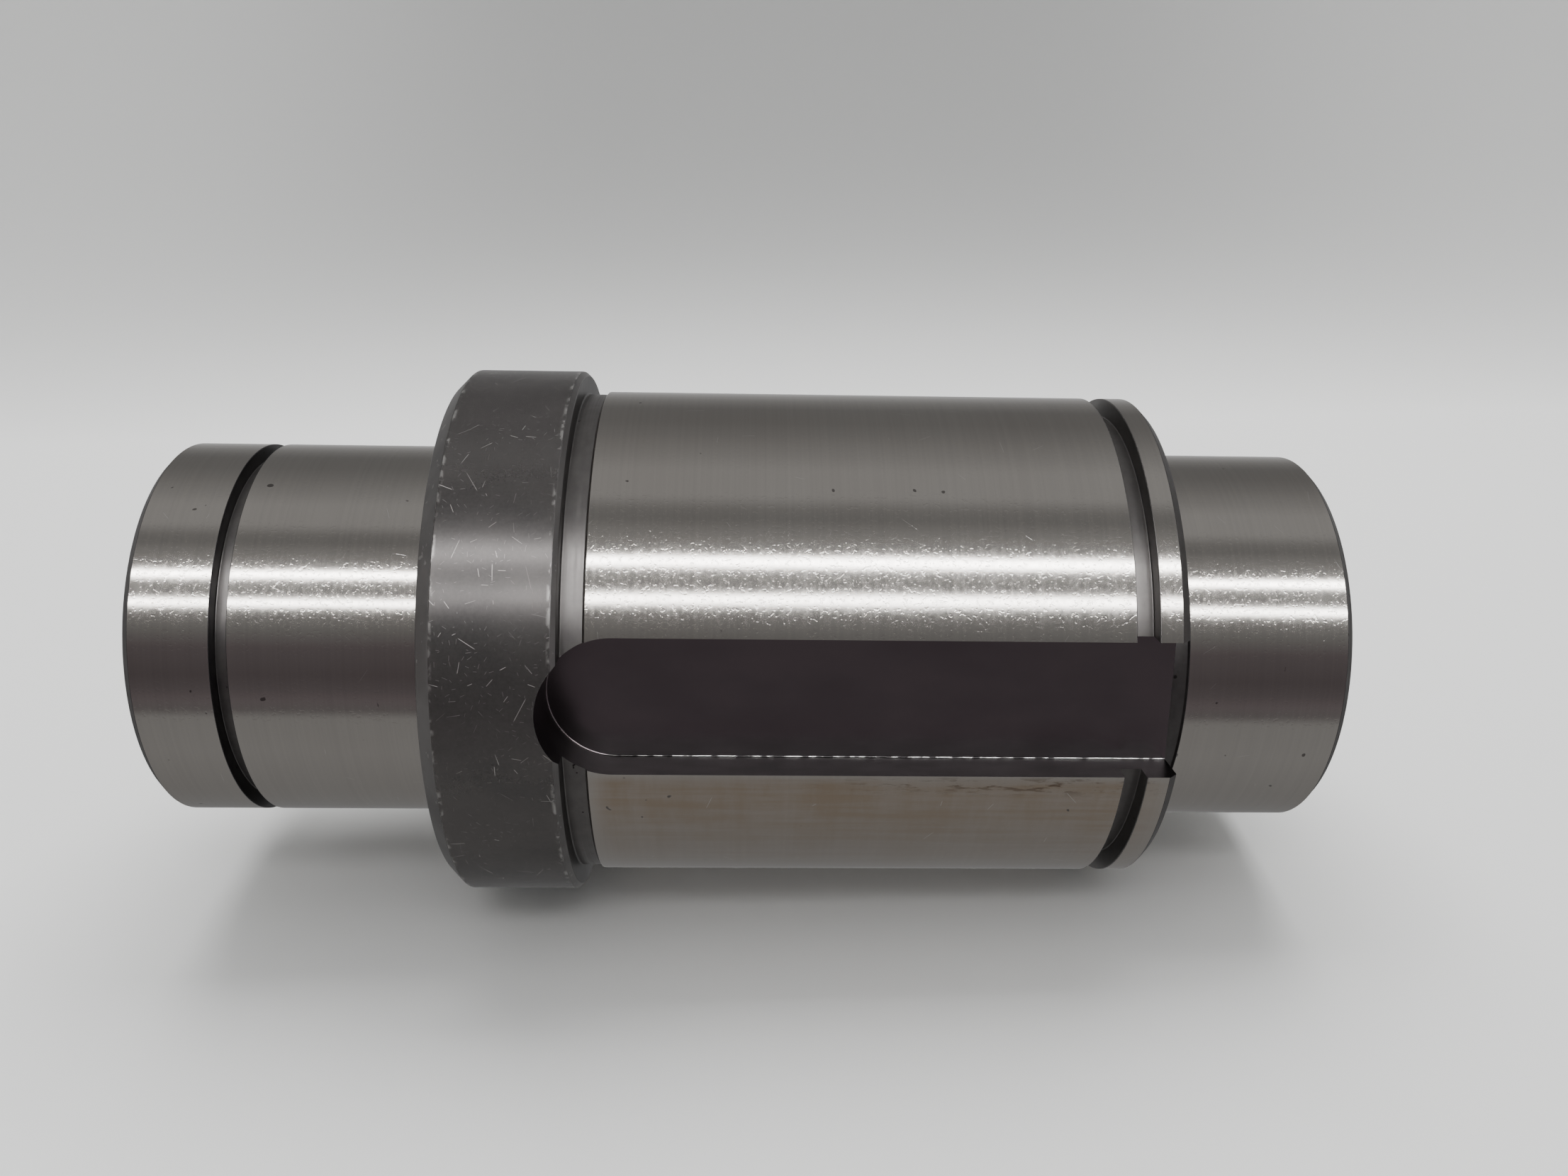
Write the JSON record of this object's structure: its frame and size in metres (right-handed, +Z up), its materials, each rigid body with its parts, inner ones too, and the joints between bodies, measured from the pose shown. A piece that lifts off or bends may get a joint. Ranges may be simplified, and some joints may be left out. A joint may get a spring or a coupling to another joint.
{
  "type": "linear ball bushing",
  "caption": "Long linear ball bushing in a stepped, flanged steel sleeve with a keyway, ring grooves and journals at both ends, with recirculating ball circuits and end seals inside.",
  "frame": {"origin": "on the shaft axis, halfway along the sleeve, which is the centre of its bounding box", "axes": "+X along the shaft axis from the flanged end towards the end with the rim and open keyway, keyway facing -Y, +Z up"},
  "size_m": [0.195, 0.092, 0.092],
  "materials": {
    "sleeve_steel": "ground journals and body, blackened flange and grooves",
    "ball_steel": "polished",
    "retainer_polymer": "moulded",
    "spacer_aluminium": "turned",
    "spring_steel": "phosphated",
    "seal_case_steel": "pressed, zinc plated",
    "seal_rubber": "matt"
  },
  "bodies": {
    "bushing": {"sleeve": "sleeve_steel", "spacer_tube": "spacer_aluminium", "retainer_left": "retainer_polymer", "retaining_ring_left": "spring_steel", "seal_case_left": "seal_case_steel", "seal_lip_left": "seal_rubber", "retainer_right": "retainer_polymer", "retaining_ring_right": "spring_steel", "seal_case_right": "seal_case_steel", "seal_lip_right": "seal_rubber"},
    "loaded_balls": {"loaded_balls_left_1": "ball_steel", "loaded_balls_left_2": "ball_steel", "loaded_balls_left_3": "ball_steel", "loaded_balls_left_4": "ball_steel", "loaded_balls_left_5": "ball_steel", "loaded_balls_left_6": "ball_steel", "loaded_balls_right_1": "ball_steel", "loaded_balls_right_2": "ball_steel", "loaded_balls_right_3": "ball_steel", "loaded_balls_right_4": "ball_steel", "loaded_balls_right_5": "ball_steel", "loaded_balls_right_6": "ball_steel"},
    "return_balls": {"return_balls_left_1": "ball_steel", "return_balls_left_2": "ball_steel", "return_balls_left_3": "ball_steel", "return_balls_left_4": "ball_steel", "return_balls_left_5": "ball_steel", "return_balls_left_6": "ball_steel", "return_balls_right_1": "ball_steel", "return_balls_right_2": "ball_steel", "return_balls_right_3": "ball_steel", "return_balls_right_4": "ball_steel", "return_balls_right_5": "ball_steel", "return_balls_right_6": "ball_steel"},
    "turn_balls_left_1_low": {"turn_balls_left_1_low": "ball_steel"},
    "turn_balls_left_1_high": {"turn_balls_left_1_high": "ball_steel"},
    "turn_balls_left_2_low": {"turn_balls_left_2_low": "ball_steel"},
    "turn_balls_left_2_high": {"turn_balls_left_2_high": "ball_steel"},
    "turn_balls_left_3_low": {"turn_balls_left_3_low": "ball_steel"},
    "turn_balls_left_3_high": {"turn_balls_left_3_high": "ball_steel"},
    "turn_balls_left_4_low": {"turn_balls_left_4_low": "ball_steel"},
    "turn_balls_left_4_high": {"turn_balls_left_4_high": "ball_steel"},
    "turn_balls_left_5_low": {"turn_balls_left_5_low": "ball_steel"},
    "turn_balls_left_5_high": {"turn_balls_left_5_high": "ball_steel"},
    "turn_balls_left_6_low": {"turn_balls_left_6_low": "ball_steel"},
    "turn_balls_left_6_high": {"turn_balls_left_6_high": "ball_steel"},
    "turn_balls_right_1_low": {"turn_balls_right_1_low": "ball_steel"},
    "turn_balls_right_1_high": {"turn_balls_right_1_high": "ball_steel"},
    "turn_balls_right_2_low": {"turn_balls_right_2_low": "ball_steel"},
    "turn_balls_right_2_high": {"turn_balls_right_2_high": "ball_steel"},
    "turn_balls_right_3_low": {"turn_balls_right_3_low": "ball_steel"},
    "turn_balls_right_3_high": {"turn_balls_right_3_high": "ball_steel"},
    "turn_balls_right_4_low": {"turn_balls_right_4_low": "ball_steel"},
    "turn_balls_right_4_high": {"turn_balls_right_4_high": "ball_steel"},
    "turn_balls_right_5_low": {"turn_balls_right_5_low": "ball_steel"},
    "turn_balls_right_5_high": {"turn_balls_right_5_high": "ball_steel"},
    "turn_balls_right_6_low": {"turn_balls_right_6_low": "ball_steel"},
    "turn_balls_right_6_high": {"turn_balls_right_6_high": "ball_steel"}
  },
  "joints": [
    {"name": "loaded_travel", "type": "slide", "parent": "bushing", "child": "loaded_balls", "axis": [1, 0, 0], "range_m": [-0.00314, 0.00314]},
    {"name": "return_travel", "type": "slide", "parent": "bushing", "child": "return_balls", "axis": [1, 0, 0], "range_m": [-0.00315, 0.00315]},
    {"name": "turn_left_1_low", "type": "hinge", "parent": "bushing", "child": "turn_balls_left_1_low", "pos_m": [-0.07512, 0.004, 0.02282], "axis": [0, 0, 1], "range_deg": [-45, 45]},
    {"name": "turn_left_1_high", "type": "hinge", "parent": "bushing", "child": "turn_balls_left_1_high", "pos_m": [-0.01858, 0.004, 0.02282], "axis": [0, 0, 1], "range_deg": [-45, 45]},
    {"name": "turn_left_2_low", "type": "hinge", "parent": "bushing", "child": "turn_balls_left_2_low", "pos_m": [-0.07512, -0.01776, 0.01487], "axis": [0, -0.866, 0.5], "range_deg": [-45, 45]},
    {"name": "turn_left_2_high", "type": "hinge", "parent": "bushing", "child": "turn_balls_left_2_high", "pos_m": [-0.01858, -0.01776, 0.01487], "axis": [0, -0.866, 0.5], "range_deg": [-45, 45]},
    {"name": "turn_left_3_low", "type": "hinge", "parent": "bushing", "child": "turn_balls_left_3_low", "pos_m": [-0.07512, -0.02176, -0.00795], "axis": [0, -0.866, -0.5], "range_deg": [-45, 45]},
    {"name": "turn_left_3_high", "type": "hinge", "parent": "bushing", "child": "turn_balls_left_3_high", "pos_m": [-0.01858, -0.02176, -0.00795], "axis": [0, -0.866, -0.5], "range_deg": [-45, 45]},
    {"name": "turn_left_4_low", "type": "hinge", "parent": "bushing", "child": "turn_balls_left_4_low", "pos_m": [-0.07512, -0.004, -0.02282], "axis": [0, 0, -1], "range_deg": [-45, 45]},
    {"name": "turn_left_4_high", "type": "hinge", "parent": "bushing", "child": "turn_balls_left_4_high", "pos_m": [-0.01858, -0.004, -0.02282], "axis": [0, 0, -1], "range_deg": [-45, 45]},
    {"name": "turn_left_5_low", "type": "hinge", "parent": "bushing", "child": "turn_balls_left_5_low", "pos_m": [-0.07512, 0.01776, -0.01487], "axis": [0, 0.866, -0.5], "range_deg": [-45, 45]},
    {"name": "turn_left_5_high", "type": "hinge", "parent": "bushing", "child": "turn_balls_left_5_high", "pos_m": [-0.01858, 0.01776, -0.01487], "axis": [0, 0.866, -0.5], "range_deg": [-45, 45]},
    {"name": "turn_left_6_low", "type": "hinge", "parent": "bushing", "child": "turn_balls_left_6_low", "pos_m": [-0.07512, 0.02176, 0.00795], "axis": [0, 0.866, 0.5], "range_deg": [-45, 45]},
    {"name": "turn_left_6_high", "type": "hinge", "parent": "bushing", "child": "turn_balls_left_6_high", "pos_m": [-0.01858, 0.02176, 0.00795], "axis": [0, 0.866, 0.5], "range_deg": [-45, 45]},
    {"name": "turn_right_1_low", "type": "hinge", "parent": "bushing", "child": "turn_balls_right_1_low", "pos_m": [0.01858, 0.004, 0.02282], "axis": [0, 0, 1], "range_deg": [-45, 45]},
    {"name": "turn_right_1_high", "type": "hinge", "parent": "bushing", "child": "turn_balls_right_1_high", "pos_m": [0.07512, 0.004, 0.02282], "axis": [0, 0, 1], "range_deg": [-45, 45]},
    {"name": "turn_right_2_low", "type": "hinge", "parent": "bushing", "child": "turn_balls_right_2_low", "pos_m": [0.01858, -0.01776, 0.01487], "axis": [0, -0.866, 0.5], "range_deg": [-45, 45]},
    {"name": "turn_right_2_high", "type": "hinge", "parent": "bushing", "child": "turn_balls_right_2_high", "pos_m": [0.07512, -0.01776, 0.01487], "axis": [0, -0.866, 0.5], "range_deg": [-45, 45]},
    {"name": "turn_right_3_low", "type": "hinge", "parent": "bushing", "child": "turn_balls_right_3_low", "pos_m": [0.01858, -0.02176, -0.00795], "axis": [0, -0.866, -0.5], "range_deg": [-45, 45]},
    {"name": "turn_right_3_high", "type": "hinge", "parent": "bushing", "child": "turn_balls_right_3_high", "pos_m": [0.07512, -0.02176, -0.00795], "axis": [0, -0.866, -0.5], "range_deg": [-45, 45]},
    {"name": "turn_right_4_low", "type": "hinge", "parent": "bushing", "child": "turn_balls_right_4_low", "pos_m": [0.01858, -0.004, -0.02282], "axis": [0, 0, -1], "range_deg": [-45, 45]},
    {"name": "turn_right_4_high", "type": "hinge", "parent": "bushing", "child": "turn_balls_right_4_high", "pos_m": [0.07512, -0.004, -0.02282], "axis": [0, 0, -1], "range_deg": [-45, 45]},
    {"name": "turn_right_5_low", "type": "hinge", "parent": "bushing", "child": "turn_balls_right_5_low", "pos_m": [0.01858, 0.01776, -0.01487], "axis": [0, 0.866, -0.5], "range_deg": [-45, 45]},
    {"name": "turn_right_5_high", "type": "hinge", "parent": "bushing", "child": "turn_balls_right_5_high", "pos_m": [0.07512, 0.01776, -0.01487], "axis": [0, 0.866, -0.5], "range_deg": [-45, 45]},
    {"name": "turn_right_6_low", "type": "hinge", "parent": "bushing", "child": "turn_balls_right_6_low", "pos_m": [0.01858, 0.02176, 0.00795], "axis": [0, 0.866, 0.5], "range_deg": [-45, 45]},
    {"name": "turn_right_6_high", "type": "hinge", "parent": "bushing", "child": "turn_balls_right_6_high", "pos_m": [0.07512, 0.02176, 0.00795], "axis": [0, 0.866, 0.5], "range_deg": [-45, 45]}
  ],
  "couplings": [
    {"joint": "return_travel", "follows": "loaded_travel", "ratio": -1},
    {"joint": "turn_left_1_low", "follows": "loaded_travel", "rad_per_m": 250},
    {"joint": "turn_left_1_high", "follows": "loaded_travel", "rad_per_m": 250},
    {"joint": "turn_left_2_low", "follows": "loaded_travel", "rad_per_m": 250},
    {"joint": "turn_left_2_high", "follows": "loaded_travel", "rad_per_m": 250},
    {"joint": "turn_left_3_low", "follows": "loaded_travel", "rad_per_m": 250},
    {"joint": "turn_left_3_high", "follows": "loaded_travel", "rad_per_m": 250},
    {"joint": "turn_left_4_low", "follows": "loaded_travel", "rad_per_m": 250},
    {"joint": "turn_left_4_high", "follows": "loaded_travel", "rad_per_m": 250},
    {"joint": "turn_left_5_low", "follows": "loaded_travel", "rad_per_m": 250},
    {"joint": "turn_left_5_high", "follows": "loaded_travel", "rad_per_m": 250},
    {"joint": "turn_left_6_low", "follows": "loaded_travel", "rad_per_m": 250},
    {"joint": "turn_left_6_high", "follows": "loaded_travel", "rad_per_m": 250},
    {"joint": "turn_right_1_low", "follows": "loaded_travel", "rad_per_m": 250},
    {"joint": "turn_right_1_high", "follows": "loaded_travel", "rad_per_m": 250},
    {"joint": "turn_right_2_low", "follows": "loaded_travel", "rad_per_m": 250},
    {"joint": "turn_right_2_high", "follows": "loaded_travel", "rad_per_m": 250},
    {"joint": "turn_right_3_low", "follows": "loaded_travel", "rad_per_m": 250},
    {"joint": "turn_right_3_high", "follows": "loaded_travel", "rad_per_m": 250},
    {"joint": "turn_right_4_low", "follows": "loaded_travel", "rad_per_m": 250},
    {"joint": "turn_right_4_high", "follows": "loaded_travel", "rad_per_m": 250},
    {"joint": "turn_right_5_low", "follows": "loaded_travel", "rad_per_m": 250},
    {"joint": "turn_right_5_high", "follows": "loaded_travel", "rad_per_m": 250},
    {"joint": "turn_right_6_low", "follows": "loaded_travel", "rad_per_m": 250},
    {"joint": "turn_right_6_high", "follows": "loaded_travel", "rad_per_m": 250}
  ]
}
